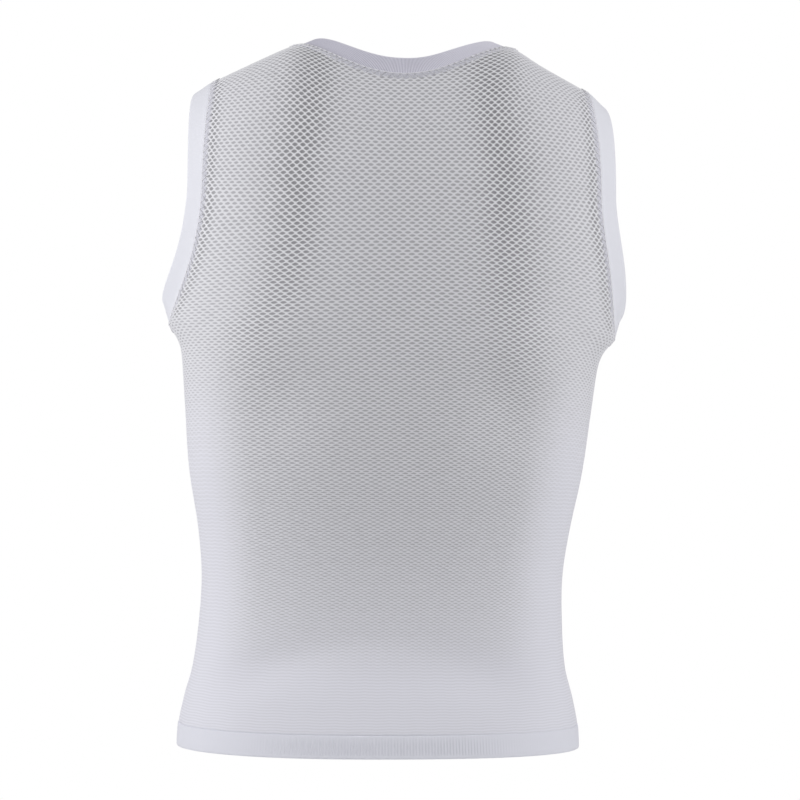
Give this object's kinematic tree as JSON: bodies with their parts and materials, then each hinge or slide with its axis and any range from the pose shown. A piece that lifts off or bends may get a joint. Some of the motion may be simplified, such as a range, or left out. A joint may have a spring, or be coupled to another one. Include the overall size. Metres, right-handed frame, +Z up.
{
  "type": "sleeveless base layer",
  "caption": "Snug sleeveless top of knitted mesh, hollow as worn, with a rib neck band, bands round the armholes and a ribbed hem.",
  "frame": {"origin": "on the middle plane between the neck ends of the two shoulder seams, where the wearer's shoulders carry the garment", "axes": "+Z up, the front faces -Y, +X is the wearer's left"},
  "size_m": [0.4076, 0.2315, 0.6216],
  "materials": {
    "mesh_knit": "matt openwork knit",
    "rib_knit": "matt fine rib knit"
  },
  "bodies": {
    "root": {"back": "mesh_knit", "front": "mesh_knit", "neck_band": "rib_knit", "armhole_band_left": "rib_knit", "armhole_band_right": "rib_knit", "hem_band": "rib_knit"}
  },
  "joints": []
}
